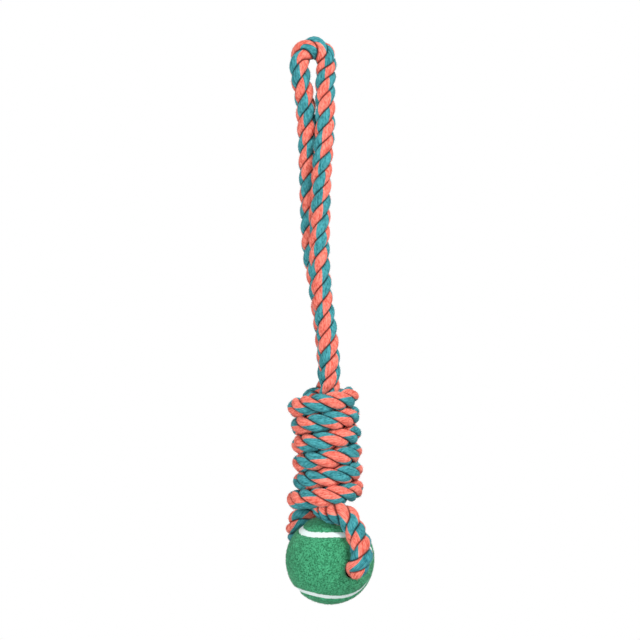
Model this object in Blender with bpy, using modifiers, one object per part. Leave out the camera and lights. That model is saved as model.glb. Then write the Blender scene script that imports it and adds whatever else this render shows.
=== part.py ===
# Ball on a rope dog toy, hanging by the top of its hand loop.
# One two-colour rope makes the hand loop, the long wound knot and the loop
# that is threaded through a drilled felt ball.
# Metres, +Z up, +X to the right, -Y towards the viewer. The origin is the
# centre of the bend at the top of the hand loop, where a peg or finger sits.
import math

import bmesh
import bpy
import numpy as np
from mathutils import Euler, Matrix, Vector

# Rope, as it lies free and as it is squeezed inside the knot
ROPE_DIAMETER = 0.0136
CORE_ROPE_DIAMETER = 0.0118
WOUND_ROPE_DIAMETER = 0.0124

# Gaps between pieces that touch on the real toy
SEAT_GAP = 0.0003
CORE_SIDE_GAP = 0.0006
TURN_GAP = 0.0009
TURN_TO_CORE_GAP = 0.0005

# Knot: a winding of six turns round three ropes
TURN_COUNT = 6
TOP_TURN_Z = -0.2462
KNOT_TOP_Z = -0.2425
KNOT_AXIS_X = 0.0079
KNOT_LEAN_SHARE = 0.0415
CORE_TWIST = math.radians(50)
FRONT_SLOT_ANGLE = math.radians(-60)
HANDLE_SLOT_ANGLE = math.radians(180)
BALL_SLOT_ANGLE = math.radians(60)
TUCK_SWEEP = math.radians(90)
TUCK_RISE = 0.0080
TUCK_INNER_REACH = 0.0130
TUCK_OUTER_REACH = 0.0170
CORE_FOOT_RISE = 0.0007

# Neck, where the handle bends against the knot
NECK_TOP_Z = -0.2130
NECK_AXIS_X = 0.0108
NECK_AXIS_Z = -0.2275

# Each rope end runs square to the face that it meets
SQUARE_RUN = 0.0020

# Ball
BALL_DIAMETER = 0.0640
BALL_CENTRE_X = 0.0124
BALL_CENTRE_Y = 0.0
FOOT_CLEARANCE = 0.0092
FELT_THICKNESS = 0.0024
CORE_WALL = 0.0034
BORE_CLEARANCE = 0.0005
BORE_MOUTH_REACH = 0.0015
BORE_SHARES = (0.545, -0.829, -0.125)
SEAM_WIDTH = 0.0046
SEAM_RECESS = 0.0007
SEAM_BEND_SHARE = 0.1607
SEAM_TURN = (math.radians(91.7), math.radians(-38.6), math.radians(-54.2))

# Points closer than this are joined
MERGE_DISTANCE = 0.00001
PANEL_MERGE_DISTANCE = 0.000001

# Share of a leg over which the squeezed rope of the knot swells to its free size
SWELL_SHARE = 0.25

# Counts
MILLIMETRES_PER_METRE = 1000
SIDE_STEPS = 2
KNOT_SIDE_STEPS = 1
THICK_SIDE_STEPS = 3
LOOP_POINTS = 24
TUCK_POINTS = 14
CORE_POINTS = 9
BALL_STEPS = 44
ARC_STEPS = 18
SEAM_POINTS = 84

# The hand loop, from the foot of its front leg over the top to its back leg
HANDLE_ROUTE = [
    (0.0112, -0.0073, -0.2110),
    (0.0101, -0.0073, -0.1963),
    (0.0069, -0.0073, -0.1724),
    (0.0055, -0.0072, -0.1550),
    (0.0047, -0.0069, -0.1392),
    (0.0052, -0.0065, -0.1160),
    (0.0058, -0.0060, -0.0922),
    (0.0071, -0.0053, -0.0690),
    (0.0087, -0.0036, -0.0488),
    (0.0089, -0.0025, -0.0372),
    (0.0088, -0.0012, -0.0235),
    (0.0090, -0.0005, -0.0141),
    (0.0097, 0.0, -0.0040),
    (0.0096, 0.0, 0.0018),
    (0.0076, 0.0, 0.0061),
    (0.0043, 0.0, 0.0088),
    (0.0, 0.0, 0.0098),
    (-0.0043, 0.0, 0.0088),
    (-0.0076, 0.0, 0.0061),
    (-0.0096, 0.0, 0.0018),
    (-0.0097, 0.0, -0.0040),
    (-0.0085, 0.0005, -0.0141),
    (-0.0065, 0.0012, -0.0235),
    (-0.0051, 0.0025, -0.0372),
    (-0.0040, 0.0038, -0.0520),
    (-0.0033, 0.0053, -0.0690),
    (-0.0027, 0.0060, -0.0922),
    (-0.0018, 0.0065, -0.1160),
    (-0.0003, 0.0070, -0.1380),
    (0.0027, 0.0073, -0.1560),
    (0.0056, 0.0073, -0.1740),
    (0.0084, 0.0073, -0.1960),
    (0.0099, 0.0073, -0.2110),
]

# Where the two legs pass through the neck, between the loop and the knot
NECK_FRONT_ROUTE = [(0.0120, -0.0072, -0.2210), (0.0119, -0.0069, -0.2335)]
NECK_BACK_ROUTE = [
    (0.0096, 0.0071, -0.2235),
    (0.0076, 0.0055, -0.2286),
    (0.0032, 0.0026, -0.2330),
    (0.0008, 0.0006, -0.2372),
]

# The two legs of the ball's loop, from the middle of the ball, as shares of the
# distance from there to the middle of a rope that lies on the ball
FRONT_LEG_SHARES = [
    (-0.103, -0.196, 1.077),
    (-0.021, -0.278, 0.979),
    (0.134, -0.387, 0.925),
    (0.284, -0.464, 0.840),
    (0.402, -0.546, 0.742),
    (0.474, -0.655, 0.598),
    (0.531, -0.755, 0.433),
    (0.572, -0.856, 0.271),
    (0.588, -0.938, 0.129),
    (0.577, -0.985, -0.005),
    (0.541, -0.956, -0.093),
    (0.513, -0.851, -0.121),
]
BACK_LEG_SHARES = [
    (0.129, 0.062, 1.121),
    (0.052, 0.180, 1.021),
    (-0.129, 0.309, 0.974),
    (-0.335, 0.376, 0.918),
    (-0.515, 0.402, 0.804),
    (-0.608, 0.454, 0.686),
    (-0.644, 0.546, 0.572),
    (-0.644, 0.680, 0.464),
    (-0.621, 0.835, 0.371),
    (-0.585, 0.946, 0.273),
    (-0.546, 0.954, 0.170),
    (-0.521, 0.861, 0.121),
]

# Sizes that follow from the ones above
TURN_PITCH = WOUND_ROPE_DIAMETER + TURN_GAP
SLOT_RADIUS = ((CORE_ROPE_DIAMETER + WOUND_ROPE_DIAMETER) / 2 + CORE_SIDE_GAP) / math.sqrt(3)
TURN_RADIUS = SLOT_RADIUS + WOUND_ROPE_DIAMETER + TURN_TO_CORE_GAP
FOOT_TURN_Z = TOP_TURN_Z - (TURN_COUNT - 1) * TURN_PITCH
CORE_FOOT_Z = FOOT_TURN_Z + CORE_FOOT_RISE
BALL_RADIUS = BALL_DIAMETER / 2
BALL_CENTRE_Z = FOOT_TURN_Z - WOUND_ROPE_DIAMETER / 2 - FOOT_CLEARANCE - BALL_RADIUS
BALL_CENTRE = Vector((BALL_CENTRE_X, BALL_CENTRE_Y, BALL_CENTRE_Z))
LAID_ROPE_RADIUS = BALL_RADIUS + ROPE_DIAMETER / 2
BORE_DIRECTION = Vector(BORE_SHARES).normalized()
BORE_RADIUS = ROPE_DIAMETER / 2 + BORE_CLEARANCE
FELT_INNER_RADIUS = BALL_RADIUS - FELT_THICKNESS
CORE_OUTER_RADIUS = FELT_INNER_RADIUS - SEAT_GAP
THROUGH_HALF_LENGTH = BALL_RADIUS + BORE_MOUTH_REACH
NECK_AXIS = Vector((NECK_AXIS_X, 0, NECK_AXIS_Z))
SEAM_CENTRE_RADIUS = BALL_RADIUS - FELT_THICKNESS / 2

CORAL = (0.90, 0.19, 0.13)
TEAL = (0.05, 0.30, 0.33)
RUBBER_GREY = (0.11, 0.10, 0.10)
FELT_GREEN = (0.06, 0.30, 0.15)
SEAM_WHITE = (0.80, 0.94, 0.91)


def clear_scene():
    for old in list(bpy.data.objects):
        bpy.data.objects.remove(old)


def make_collection(name):
    group = bpy.data.collections.new(name)
    bpy.context.scene.collection.children.link(group)
    return group


def make_material(name, colour, roughness):
    material = bpy.data.materials.new(name)
    material.use_nodes = True
    shader = material.node_tree.nodes["Principled BSDF"]
    shader.inputs["Base Color"].default_value = (*colour, 1)
    shader.inputs["Roughness"].default_value = roughness
    shader.inputs["Metallic"].default_value = 0
    return material


def add_object(name, data, group, material, parent=None):
    piece = bpy.data.objects.new(name, data)
    data.materials.append(material)
    group.objects.link(piece)
    piece.parent = parent
    return piece


def add_axis(name, place, group):
    # An empty on a joint's axis, for the pieces that turn about it
    axis = bpy.data.objects.new(name, None)
    group.objects.link(axis)
    axis.matrix_world = place
    return axis


def carry(axis, pieces):
    # The pieces turn with the axis and keep their places in the shared frame
    bpy.context.view_layer.update()
    for piece in pieces:
        piece.parent = axis
        piece.matrix_parent_inverse = axis.matrix_world.inverted()


def smooth_route(points, steps):
    # A natural cubic through the points, spaced by the straight distances
    places = np.array([tuple(point) for point in points])
    count = len(places)
    spans = np.linalg.norm(np.diff(places, axis=0), axis=1)
    slopes = np.diff(places, axis=0) / spans[:, None]
    system = np.eye(count)
    target = np.zeros((count, 3))
    for i in range(1, count - 1):
        system[i, i - 1:i + 2] = spans[i - 1], 2 * (spans[i - 1] + spans[i]), spans[i]
        target[i] = 6 * (slopes[i] - slopes[i - 1])
    bends = np.linalg.solve(system, target)
    route = []
    for i in range(count - 1):
        for step in range(steps):
            share = step / steps
            rest = 1 - share
            curl = (rest**3 - rest) * bends[i] + (share**3 - share) * bends[i + 1]
            route.append(rest * places[i] + share * places[i + 1] + spans[i] ** 2 / 6 * curl)
    route.append(places[-1])
    return [Vector(point) for point in route]


def path_length(points):
    return sum((b - a).length for a, b in zip(points, points[1:]))


def tube_curve(name, points, diameters, side_steps, cyclic=False):
    # diameters is one value, or one for each point
    thickest = diameters if isinstance(diameters, float) else max(diameters)
    curve = bpy.data.curves.new(name, "CURVE")
    curve.dimensions = "3D"
    curve.bevel_depth = thickest / 2
    curve.bevel_resolution = side_steps
    curve.use_fill_caps = not cyclic
    spline = curve.splines.new("POLY")
    spline.points.add(len(points) - 1)
    for i, point in enumerate(points):
        spline.points[i].co = (*point, 1)
        if not isinstance(diameters, float):
            spline.points[i].radius = diameters[i] / thickest
    spline.use_cyclic_u = cyclic
    return curve


def taper(count, first, last, share):
    # Diameters along a rope that swells or narrows within one end
    reach = max(1, round(share * (count - 1)))
    return [first + (last - first) * min(1, i / reach) for i in range(count)]


def axis_x(z):
    return KNOT_AXIS_X + (TOP_TURN_Z - z) * KNOT_LEAN_SHARE


def slot_angle_at(top_angle, z):
    # The three ropes of the core twist a little round each other on the way down
    return top_angle - CORE_TWIST * (KNOT_TOP_Z - z) / (KNOT_TOP_Z - CORE_FOOT_Z)


def slot_point(top_angle, z):
    angle = slot_angle_at(top_angle, z)
    return Vector((axis_x(z) + SLOT_RADIUS * math.cos(angle), SLOT_RADIUS * math.sin(angle), z))


def turn_point(turns):
    # turns counts up from the front of the lowest turn
    z = FOOT_TURN_Z + TURN_PITCH * turns
    angle = 2 * math.pi * turns - math.pi / 2
    return Vector((axis_x(z) + TURN_RADIUS * math.cos(angle), TURN_RADIUS * math.sin(angle), z))


def tuck(inner, outer, outer_heading):
    # From straight up and down inside the core, round into the winding
    inner_handle = inner + Vector((0, 0, outer.z - inner.z)).normalized() * TUCK_INNER_REACH
    outer_handle = outer + outer_heading * TUCK_OUTER_REACH
    points = []
    for i in range(TUCK_POINTS):
        share = i / TUCK_POINTS
        rest = 1 - share
        points.append(
            rest**3 * inner
            + 3 * rest**2 * share * inner_handle
            + 3 * rest * share**2 * outer_handle
            + share**3 * outer
        )
    return points


def turns_at(angle, whole_turns):
    # A plan angle as a count of turns from the front of the lowest turn
    return whole_turns + (angle + math.pi / 2) / (2 * math.pi)


def winding_route():
    # The route, and the rope's diameter at each point: slimmer where it is tucked in
    first = turns_at(slot_angle_at(HANDLE_SLOT_ANGLE, CORE_FOOT_Z) + TUCK_SWEEP, -1)
    last = turns_at(slot_angle_at(BALL_SLOT_ANGLE, KNOT_TOP_Z) - TUCK_SWEEP, TURN_COUNT - 1)
    nudge = 1 / LOOP_POINTS
    start = turn_point(first)
    end = turn_point(last)
    start_heading = (turn_point(first) - turn_point(first + nudge)).normalized()
    end_heading = (turn_point(last) - turn_point(last - nudge)).normalized()
    run = Vector((0, 0, WOUND_ROPE_DIAMETER))
    foot_z = start.z + TUCK_RISE
    top_z = end.z - TUCK_RISE
    foot_inner = at_height(slot_point(HANDLE_SLOT_ANGLE, foot_z + WOUND_ROPE_DIAMETER / 2), foot_z)
    top_inner = at_height(slot_point(BALL_SLOT_ANGLE, top_z - WOUND_ROPE_DIAMETER / 2), top_z)
    loops = round((last - first) * LOOP_POINTS)
    foot_tuck = tuck(foot_inner, start, start_heading)
    top_tuck = tuck(top_inner, end, end_heading)[::-1]
    turns = [turn_point(first + (last - first) * i / loops) for i in range(loops + 1)]
    route = [foot_inner + run, *foot_tuck, *turns, *top_tuck, top_inner - run]
    tucked = [CORE_ROPE_DIAMETER] * (len(foot_tuck) + 1)
    return route, [*tucked, *[WOUND_ROPE_DIAMETER] * len(turns), *tucked]


def least_gap(points, diameter):
    # Between stretches of the tube that lie more than two diameters apart along it
    places = np.array([tuple(point) for point in points])
    runs = np.concatenate([[0], np.cumsum(np.linalg.norm(np.diff(places, axis=0), axis=1))])
    apart = np.linalg.norm(places[:, None] - places[None], axis=2)
    far = np.abs(runs[:, None] - runs[None]) > 2 * diameter
    return apart[far].min() - diameter


def at_height(point, z):
    return Vector((point[0], point[1], z))


def handle_route():
    middle = smooth_route(HANDLE_ROUTE, SIDE_STEPS)
    return [at_height(middle[0], NECK_TOP_Z), *middle, at_height(middle[-1], NECK_TOP_Z)]


def build_handle_loop(group, material):
    curve = tube_curve("handle_loop", handle_route(), ROPE_DIAMETER, THICK_SIDE_STEPS)
    return add_object("handle_loop", curve, group, material)


def build_neck_rope(name, top, middle, slot_angle, group, material):
    start = at_height(top, NECK_TOP_Z - SEAT_GAP)
    end = at_height(slot_point(slot_angle, KNOT_TOP_Z), KNOT_TOP_Z + SEAT_GAP)
    run = Vector((0, 0, SQUARE_RUN))
    route = [start, *smooth_route([start - run, *middle, end + run], SIDE_STEPS), end]
    sizes = taper(len(route), ROPE_DIAMETER, CORE_ROPE_DIAMETER, 1)
    return add_object(name, tube_curve(name, route, sizes, THICK_SIDE_STEPS), group, material)


def build_core_rope(name, slot_angle, top, foot, group, material):
    first = slot_point(slot_angle, top)
    last = slot_point(slot_angle, foot)
    route = [first, at_height(first, top - SQUARE_RUN)]
    for i in range(1, CORE_POINTS):
        route.append(slot_point(slot_angle, top + (foot - top) * i / CORE_POINTS))
    route += [at_height(last, foot + SQUARE_RUN), last]
    return add_object(name, tube_curve(name, route, CORE_ROPE_DIAMETER, SIDE_STEPS), group, material)


def build_winding(route, sizes, group, material):
    curve = tube_curve("winding", route, sizes, KNOT_SIDE_STEPS)
    return add_object("winding", curve, group, material)


def build_ball_leg(name, shares, slot_angle, side, group, material):
    # side is 1 for the front mouth of the bore and -1 for the back one
    start = at_height(slot_point(slot_angle, CORE_FOOT_Z), CORE_FOOT_Z - SEAT_GAP)
    bore = BORE_DIRECTION * side
    end = BALL_CENTRE + bore * (THROUGH_HALF_LENGTH + SEAT_GAP)
    first = start - Vector((0, 0, SQUARE_RUN))
    middle = [BALL_CENTRE + Vector(place) * LAID_ROPE_RADIUS for place in shares]
    points = [first, *middle, end + bore * SQUARE_RUN]
    route = [start, *smooth_route(points, SIDE_STEPS), end]
    sizes = taper(len(route), CORE_ROPE_DIAMETER, ROPE_DIAMETER, SWELL_SHARE)
    return add_object(name, tube_curve(name, route, sizes, THICK_SIDE_STEPS), group, material)


def build_ball_rope(bore, group, material):
    reach = Vector((0, 0, THROUGH_HALF_LENGTH))
    curve = tube_curve("ball_rope", [-reach, reach], ROPE_DIAMETER, THICK_SIDE_STEPS)
    piece = add_object("ball_rope", curve, group, material)
    piece.matrix_world = bore
    return piece


def shell_profile(outer_radius, inner_radius, end_height):
    # From the mouth of the bore down the outside, and back up the inside.
    # end_height is the lower end: the parting plane, or the other mouth.
    points = []
    for radius, order in ((outer_radius, 1), (inner_radius, -1)):
        first = math.asin(BORE_RADIUS / radius)
        last = math.pi - first if end_height is None else math.acos(end_height / radius)
        steps = ARC_STEPS if end_height is None else ARC_STEPS // 2
        arc = [first + (last - first) * i / steps for i in range(steps + 1)]
        for angle in arc[::order]:
            points.append((radius * math.sin(angle), 0, radius * math.cos(angle)))
    return points


def turned_shell(name, points, group, material, parent):
    mesh = bpy.data.meshes.new(name)
    edges = [(i, (i + 1) % len(points)) for i in range(len(points))]
    mesh.from_pydata(points, edges, [])
    piece = add_object(name, mesh, group, material, parent)
    screw = piece.modifiers.new("turn", "SCREW")
    screw.axis = "Z"
    screw.steps = BALL_STEPS
    screw.render_steps = BALL_STEPS
    screw.use_merge_vertices = True
    screw.merge_threshold = MERGE_DISTANCE
    screw.use_smooth_shade = True
    return piece


def build_core_half(name, side, group, material, axis_empty):
    points = shell_profile(CORE_OUTER_RADIUS, CORE_OUTER_RADIUS - CORE_WALL, SEAT_GAP / 2)
    piece = turned_shell(name, points, group, material, axis_empty)
    if side < 0:
        piece.rotation_euler = (math.pi, 0, 0)
    return piece


def seam_route():
    # The closed curve that parts a ball into two equal dumb-bell panels
    wide = 1 - SEAM_BEND_SHARE
    high = 2 * math.sqrt(wide * SEAM_BEND_SHARE)
    route = []
    for i in range(SEAM_POINTS):
        angle = 2 * math.pi * i / SEAM_POINTS
        x = wide * math.cos(angle) + SEAM_BEND_SHARE * math.cos(3 * angle)
        y = wide * math.sin(angle) - SEAM_BEND_SHARE * math.sin(3 * angle)
        z = high * math.sin(2 * angle)
        route.append(Vector((x, y, z)).normalized() * SEAM_CENTRE_RADIUS)
    return route


def curve_to_mesh(curve_object):
    depsgraph = bpy.context.evaluated_depsgraph_get()
    mesh = bpy.data.meshes.new_from_object(curve_object.evaluated_get(depsgraph))
    work = bmesh.new()
    work.from_mesh(mesh)
    bmesh.ops.remove_doubles(work, verts=work.verts, dist=MERGE_DISTANCE)
    bmesh.ops.recalc_face_normals(work, faces=work.faces)
    work.to_mesh(mesh)
    work.free()
    return mesh


def seam_tube(name, width, group, material, parent, turn):
    # A round tube along the seam, wide enough to show that width between the felts
    half = width / 2
    depth = FELT_THICKNESS / 2
    curve = tube_curve(name, seam_route(), 2 * math.hypot(half, depth), SIDE_STEPS, cyclic=True)
    guide = add_object(name + "_curve", curve, group, material, parent)
    guide.matrix_basis = turn
    bpy.context.view_layer.update()
    mesh = curve_to_mesh(guide)
    bpy.data.objects.remove(guide)
    piece = add_object(name, mesh, group, material, parent)
    piece.matrix_basis = turn
    return piece


def cut(piece, cutter, operation):
    boolean = piece.modifiers.new("cut", "BOOLEAN")
    boolean.object = cutter
    boolean.operation = operation
    boolean.solver = "EXACT"


def make_cutter(piece):
    piece.hide_render = True
    piece.display_type = "WIRE"


def loose_parts(mesh):
    # The face groups of a mesh that share no point, largest first
    work = bmesh.new()
    work.from_mesh(mesh)
    unseen = set(work.faces)
    groups = []
    while unseen:
        front = [unseen.pop()]
        group = []
        while front:
            face = front.pop()
            group.append(face)
            for edge in face.edges:
                for near in edge.link_faces:
                    if near in unseen:
                        unseen.remove(near)
                        front.append(near)
        groups.append([[tuple(vert.co) for vert in face.verts] for face in group])
    work.free()
    return sorted(groups, key=len, reverse=True)


def mesh_from_polygons(name, polygons):
    work = bmesh.new()
    for polygon in polygons:
        work.faces.new([work.verts.new(place) for place in polygon])
    bmesh.ops.remove_doubles(work, verts=work.verts, dist=PANEL_MERGE_DISTANCE)
    mesh = bpy.data.meshes.new(name)
    work.to_mesh(mesh)
    work.free()
    mesh.shade_smooth()
    return mesh


def build_felt_panels(group, cutters, materials, axis_empty, turn):
    points = shell_profile(BALL_RADIUS, FELT_INNER_RADIUS, None)
    whole = turned_shell("felt_whole", points, cutters, materials[0], axis_empty)
    groove = seam_tube("seam_groove", SEAM_WIDTH + 2 * SEAT_GAP, cutters, materials[0], axis_empty, turn)
    make_cutter(groove)
    cut(whole, groove, "DIFFERENCE")
    bpy.context.view_layer.update()
    depsgraph = bpy.context.evaluated_depsgraph_get()
    mesh = bpy.data.meshes.new_from_object(whole.evaluated_get(depsgraph))
    bpy.data.objects.remove(whole)
    for name, polygons, material in zip(("felt_panel_a", "felt_panel_b"), loose_parts(mesh), materials):
        add_object(name, mesh_from_polygons(name, polygons), group, material, axis_empty)


def build_seam(group, cutters, material, axis_empty, turn):
    points = shell_profile(BALL_RADIUS - SEAM_RECESS, FELT_INNER_RADIUS, None)
    layer = turned_shell("seam_layer", points, cutters, material, axis_empty)
    make_cutter(layer)
    seam = seam_tube("ball_seam", SEAM_WIDTH, group, material, axis_empty, turn)
    cut(seam, layer, "INTERSECT")
    return seam


def print_length(words, length):
    print("%s: %.2f mm" % (words, length * MILLIMETRES_PER_METRE))


def build():
    clear_scene()
    toy = make_collection("ball_on_rope_toy")
    cutters = make_collection("cutters")
    names = ("handle_loop", "neck_rope_front", "neck_rope_back", "core_rope_front", "core_rope_handle",
             "core_rope_ball", "winding", "ball_leg_front", "ball_leg_back", "ball_rope")
    rope = {name: make_material(name, TEAL if i % 2 else CORAL, 0.95) for i, name in enumerate(names)}

    build_handle_loop(toy, rope["handle_loop"])
    build_neck_rope("neck_rope_front", HANDLE_ROUTE[0], NECK_FRONT_ROUTE, FRONT_SLOT_ANGLE, toy,
                    rope["neck_rope_front"])
    build_neck_rope("neck_rope_back", HANDLE_ROUTE[-1], NECK_BACK_ROUTE, HANDLE_SLOT_ANGLE, toy,
                    rope["neck_rope_back"])

    route, sizes = winding_route()
    knot = [build_winding(route, sizes, toy, rope["winding"])]
    for name, slot_angle, top, foot in (
        ("core_rope_front", FRONT_SLOT_ANGLE, KNOT_TOP_Z, CORE_FOOT_Z),
        ("core_rope_handle", HANDLE_SLOT_ANGLE, KNOT_TOP_Z, route[0].z + SEAT_GAP),
        ("core_rope_ball", BALL_SLOT_ANGLE, route[-1].z - SEAT_GAP, CORE_FOOT_Z),
    ):
        knot.append(build_core_rope(name, slot_angle, top, foot, toy, rope[name]))
    for name, shares, slot_angle, side in (
        ("ball_leg_front", FRONT_LEG_SHARES, FRONT_SLOT_ANGLE, 1),
        ("ball_leg_back", BACK_LEG_SHARES, BALL_SLOT_ANGLE, -1),
    ):
        knot.append(build_ball_leg(name, shares, slot_angle, side, toy, rope[name]))
    bore_turn = BORE_DIRECTION.to_track_quat("Z", "Y")
    bore = Matrix.LocRotScale(BALL_CENTRE, bore_turn, None)
    knot.append(build_ball_rope(bore, toy, rope["ball_rope"]))

    neck_axis = add_axis("neck_bend_axis", Matrix.Translation(NECK_AXIS), toy)
    ball_axis = add_axis("ball_turn_axis", bore, toy)
    carry(neck_axis, [*knot, ball_axis])

    seam_turn = (bore_turn.to_matrix().inverted() @ Euler(SEAM_TURN, "XYZ").to_matrix()).to_4x4()
    for name, side in (("ball_core_front", 1), ("ball_core_back", -1)):
        build_core_half(name, side, toy, make_material(name, RUBBER_GREY, 0.8), ball_axis)
    felts = [make_material(name, FELT_GREEN, 1) for name in ("felt_panel_a", "felt_panel_b")]
    build_felt_panels(toy, cutters, felts, ball_axis, seam_turn)
    build_seam(toy, cutters, make_material("ball_seam", SEAM_WHITE, 0.7), ball_axis, seam_turn)
    bpy.context.view_layer.update()

    print_length("handle loop", path_length(handle_route()))
    print_length("winding", path_length(route))
    print_length("least gap between the winding's turns", least_gap(route, WOUND_ROPE_DIAMETER))


build()
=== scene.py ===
# Ball on a rope dog toy: two-colour laid rope, a wound knot and a drilled felt ball
import math

import bmesh
import bpy
import numpy as np
from mathutils import Euler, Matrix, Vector, noise


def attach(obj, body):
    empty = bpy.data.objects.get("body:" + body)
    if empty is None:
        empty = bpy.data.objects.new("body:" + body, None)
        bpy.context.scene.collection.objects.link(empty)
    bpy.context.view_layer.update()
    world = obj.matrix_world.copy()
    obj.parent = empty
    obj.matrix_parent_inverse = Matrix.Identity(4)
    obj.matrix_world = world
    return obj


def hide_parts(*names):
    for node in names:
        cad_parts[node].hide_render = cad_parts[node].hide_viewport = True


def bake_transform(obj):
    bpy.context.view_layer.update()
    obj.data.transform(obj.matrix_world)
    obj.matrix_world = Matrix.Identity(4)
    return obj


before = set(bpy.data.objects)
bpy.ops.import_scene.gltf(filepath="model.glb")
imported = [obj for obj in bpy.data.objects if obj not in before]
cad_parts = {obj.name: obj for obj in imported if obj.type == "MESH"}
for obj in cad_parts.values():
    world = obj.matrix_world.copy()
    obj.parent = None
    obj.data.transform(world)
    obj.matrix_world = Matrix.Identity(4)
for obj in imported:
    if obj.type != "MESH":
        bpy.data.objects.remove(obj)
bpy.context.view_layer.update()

mm = 0.001


def linearColour(text):
    # sRGB hex to linear, with alpha
    values = [int(text[i:i + 2], 16) / 255 for i in (1, 3, 5)]
    return [v / 12.92 if v <= 0.04045 else ((v + 0.055) / 1.055) ** 2.4 for v in values] + [1]


def addNode(tree, kind, inputs=None, **settings):
    # One node with its settings; an input is a value or the socket that feeds it
    node = tree.nodes.new(kind)
    for name, value in settings.items():
        setattr(node, name, value)
    for key, value in (inputs or {}).items():
        if isinstance(value, bpy.types.NodeSocket):
            tree.links.new(value, node.inputs[key])
        else:
            node.inputs[key].default_value = value
    return node


def addObject(name, data, material=None):
    thing = bpy.data.objects.new(name, data)
    bpy.context.scene.collection.objects.link(thing)
    if material is not None:
        data.materials.append(material)
    return thing


def smoothRoute(points, steps):
    # Natural cubic through the points, spaced by the straight distances
    places = np.array([tuple(point) for point in points])
    count = len(places)
    spans = np.linalg.norm(np.diff(places, axis=0), axis=1)
    slopes = np.diff(places, axis=0) / spans[:, None]
    system, target = np.eye(count), np.zeros((count, 3))
    for i in range(1, count - 1):
        system[i, i - 1:i + 2] = spans[i - 1], 2 * (spans[i - 1] + spans[i]), spans[i]
        target[i] = 6 * (slopes[i] - slopes[i - 1])
    bends = np.linalg.solve(system, target)
    route = []
    for i in range(count - 1):
        for share in np.arange(steps) / steps:
            rest = 1 - share
            curl = (rest**3 - rest) * bends[i] + (share**3 - share) * bends[i + 1]
            route.append(rest * places[i] + share * places[i + 1] + spans[i] ** 2 / 6 * curl)
    return [Vector(point) for point in [*route, places[-1]]]


def runLengths(points):
    # Distance along the route at each of its points
    lengths = [0]
    for a, b in zip(points, points[1:]):
        lengths.append(lengths[-1] + (b - a).length)
    return lengths


def atHeight(point, z):
    return Vector((point[0], point[1], z))


camera = {
    "place": (5.06 * mm, -1600 * mm, -186.9 * mm),
    "widthAtToy": 462.7 * mm,  # what 640 pixels span where the toy hangs
}


def makeCamera():
    data = bpy.data.cameras.new("camera")
    data.lens = data.sensor_width * -camera["place"][1] / camera["widthAtToy"]
    eye = addObject("camera", data)
    eye.location = camera["place"]
    eye.rotation_euler = (math.pi / 2, 0, 0)
    bpy.context.scene.camera = eye


makeCamera()
print("camera done")

seatGap = 0.3 * mm  # between ropes that meet end to end
smoothSteps = 8     # points from one point of a route to the next
viewerSide = Vector((0, -1, 0))

knot = {
    "turns": 6,
    "topTurnZ": -246.2 * mm,
    "pitch": 13.3 * mm,
    "turnRadius": 18.4 * mm,
    "footBulge": 5.2 * mm,  # how far the lowest turn stands out at its left end
    "footBulgeEnd": 0.2,    # where that bulge is gone, in turns from the front of the lowest turn
    "footBulgeRun": 0.4,    # and how many turns it takes to go
    "topBulge": 1.6 * mm,   # how far the top turn stands out at its left
    "topBulgeBack": 1.28,   # where, in turns back from the number of turns
    "topBulgeSpread": 0.13,
    "turnTilt": 0.8 * mm,   # how far each turn sinks at its left and rises at its right
    "handleSink": 6 * mm,   # how far the hand loop's back leg runs on into the knot
    "topZ": -242.5 * mm,
    "axisX": 8.3 * mm,      # of the knot's middle at its top turn
    "leanShare": 0.048,
    "slotRadius": 7.33 * mm,   # from the knot's middle to that of a core rope
    "coreFootRise": 0.7 * mm,  # from the middle of the lowest turn to the foot of the core ropes
    "coreTwist": math.radians(50),
    "frontSlot": math.radians(-60),
    "handleSlot": math.radians(180),
    "ballSlot": math.radians(60),
    "footStart": -0.26,  # where the lowest turn comes out, in turns from its front
    "tuckSweep": math.radians(90),
    "tuckRise": 8 * mm,
    "tuckInnerReach": 13 * mm,
    "tuckOuterReach": 17 * mm,
    "run": 12.4 * mm,  # straight rope past each tuck
    "loopPoints": 48,
}
knot["footTurnZ"] = knot["topTurnZ"] - (knot["turns"] - 1) * knot["pitch"]
knot["coreFootZ"] = knot["footTurnZ"] + knot["coreFootRise"]

ball = {
    "centre": Vector((12.4, 0, -360.1)) * mm,
    "radius": 32 * mm,
    "bore": Vector((0.545, -0.829, -0.125)).normalized(),
    "boreRadius": 7.3 * mm,
    "throughHalf": 33.5 * mm,
    "laidRadius": 38.8 * mm,  # from the middle of the ball to the middle of a rope on it
    "legDrop": 2 * mm,        # how far each leg goes straight down out of the knot
}

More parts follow.
